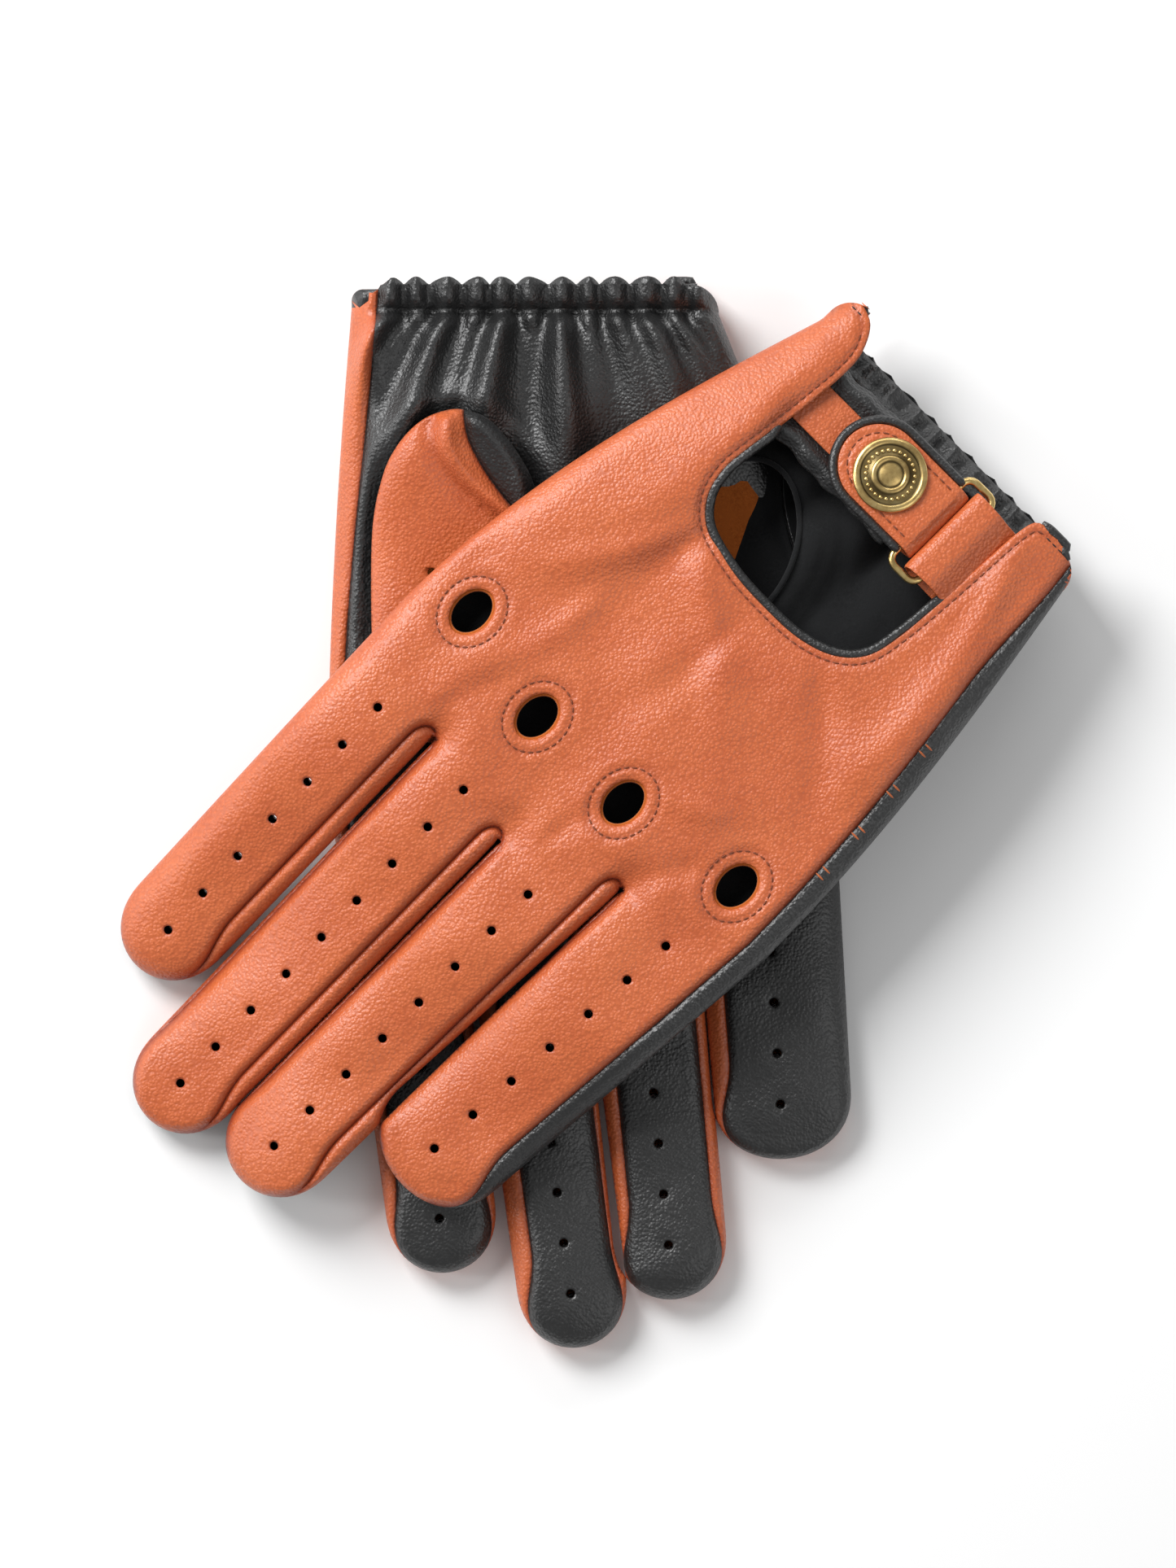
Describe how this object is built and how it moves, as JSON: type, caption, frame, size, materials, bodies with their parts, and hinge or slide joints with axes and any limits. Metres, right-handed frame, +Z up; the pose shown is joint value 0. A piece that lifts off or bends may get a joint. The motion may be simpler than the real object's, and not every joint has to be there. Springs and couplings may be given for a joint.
{
  "type": "pair of driving gloves",
  "caption": "Pair of soft leather driving gloves laid one on the other, with open knuckles, a cut-away wrist and a snap strap through a wire ring",
  "frame": {"origin": "centre of the bounding box in plan, on the surface the pair lies on", "axes": "+Z up out of the table; the right glove lies along -Y, fingers at -Y; the left glove lies across it with its fingers towards -X and -Y"},
  "size_m": [0.2058, 0.2382, 0.0315],
  "materials": {
    "tan_leather": "soft tan glove leather with a fine grain and a low sheen",
    "black_leather": "soft black glove leather, smooth, with a low sheen",
    "brass": "antiqued brass, burnished on the high spots",
    "elastic_band": "flat woven elastic, matte"
  },
  "bodies": {
    "right_glove": {"right_back_panel": "tan_leather", "right_palm_panel": "black_leather", "right_fourchettes_index_middle": "tan_leather", "right_fourchettes_middle_ring": "tan_leather", "right_fourchettes_ring_little": "tan_leather", "right_knuckle_facing_index": "tan_leather", "right_knuckle_facing_middle": "tan_leather", "right_knuckle_facing_ring": "tan_leather", "right_knuckle_facing_little": "tan_leather", "right_thumb_back": "tan_leather", "right_thumb_front": "black_leather", "right_opening_piping": "black_leather", "right_little_flap_binding": "black_leather", "right_thumb_flap_binding": "black_leather", "right_cuff_elastic": "elastic_band", "right_strap_base": "tan_leather", "right_strap_lining": "black_leather", "right_strap_keeper": "tan_leather", "right_snap_stud": "brass", "right_snap_post": "brass"},
    "right_ring": {"right_strap_ring": "brass"},
    "right_tail": {"right_strap_tail": "tan_leather", "right_strap_tail_piping": "black_leather", "right_snap_cap": "brass", "right_snap_socket": "brass"},
    "left_glove": {"left_back_panel": "tan_leather", "left_palm_panel": "black_leather", "left_fourchettes_index_middle": "tan_leather", "left_fourchettes_middle_ring": "tan_leather", "left_fourchettes_ring_little": "tan_leather", "left_knuckle_facing_index": "tan_leather", "left_knuckle_facing_middle": "tan_leather", "left_knuckle_facing_ring": "tan_leather", "left_knuckle_facing_little": "tan_leather", "left_thumb_back": "tan_leather", "left_thumb_front": "black_leather", "left_opening_piping": "black_leather", "left_little_flap_binding": "black_leather", "left_thumb_flap_binding": "black_leather", "left_cuff_elastic": "elastic_band", "left_strap_base": "tan_leather", "left_strap_lining": "black_leather", "left_strap_keeper": "tan_leather", "left_snap_stud": "brass", "left_snap_post": "brass"},
    "left_ring": {"left_strap_ring": "brass"},
    "left_tail": {"left_strap_tail": "tan_leather", "left_strap_tail_piping": "black_leather", "left_snap_cap": "brass", "left_snap_socket": "brass"}
  },
  "joints": [
    {"name": "left_glove_lift", "type": "slide", "parent": "right_glove", "child": "left_glove", "axis": [0, 0, 1], "range_m": [0, 0.08]},
    {"name": "left_ring_swing", "type": "hinge", "parent": "left_glove", "child": "left_ring", "pos_m": [0.07616, 0.05394, 0.02635], "axis": [0.6993, 0.6993, -0.1477], "range_deg": [0, 20]},
    {"name": "left_strap_open", "type": "hinge", "parent": "left_ring", "child": "left_tail", "pos_m": [0.07057, 0.05952, 0.02635], "axis": [0.6993, 0.6993, -0.1477], "range_deg": [0, 100]},
    {"name": "right_ring_swing", "type": "hinge", "parent": "right_glove", "child": "right_ring", "pos_m": [0.00446, 0.09383, 0.00504], "axis": [0, -1, 0], "range_deg": [0, 20]},
    {"name": "right_strap_open", "type": "hinge", "parent": "right_ring", "child": "right_tail", "pos_m": [-0.00344, 0.09383, 0.00504], "axis": [0, -1, 0], "range_deg": [0, 100]}
  ]
}
